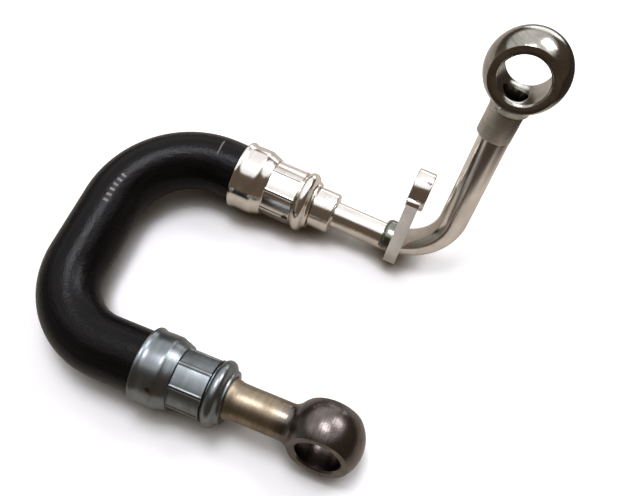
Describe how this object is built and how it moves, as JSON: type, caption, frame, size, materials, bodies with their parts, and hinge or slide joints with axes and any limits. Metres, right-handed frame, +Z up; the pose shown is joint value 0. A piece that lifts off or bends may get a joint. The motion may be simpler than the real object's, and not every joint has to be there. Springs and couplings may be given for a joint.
{
  "type": "coolant line",
  "caption": "Moulded U-shaped rubber coolant hose crimped to banjo fittings, with a bent steel pipe and a bolt-on bracket on its upper leg.",
  "frame": {"origin": "on the floor, under the middle of the footprint", "axes": "+X along the lower leg towards its banjo, +Y from the lower leg to the upper leg, +Z up off the floor"},
  "size_m": [0.119, 0.105, 0.0747],
  "materials": {
    "hose_rubber": "matte moulded, with a faint wrap texture",
    "zinc_plate": "satin zinc plate",
    "nickel_plate": "bright satin plate",
    "yellow_steel": "turned, thin yellow-brown passivation",
    "turned_steel": "satin turned steel"
  },
  "bodies": {
    "root": {"hose": "hose_rubber", "lower_ferrule": "zinc_plate", "upper_ferrule": "nickel_plate", "lower_banjo_fitting": "yellow_steel", "upper_nipple": "nickel_plate", "steel_tube": "nickel_plate", "bracket_plate": "nickel_plate", "bracket_bush": "nickel_plate", "upper_banjo_eye": "turned_steel"}
  },
  "joints": []
}
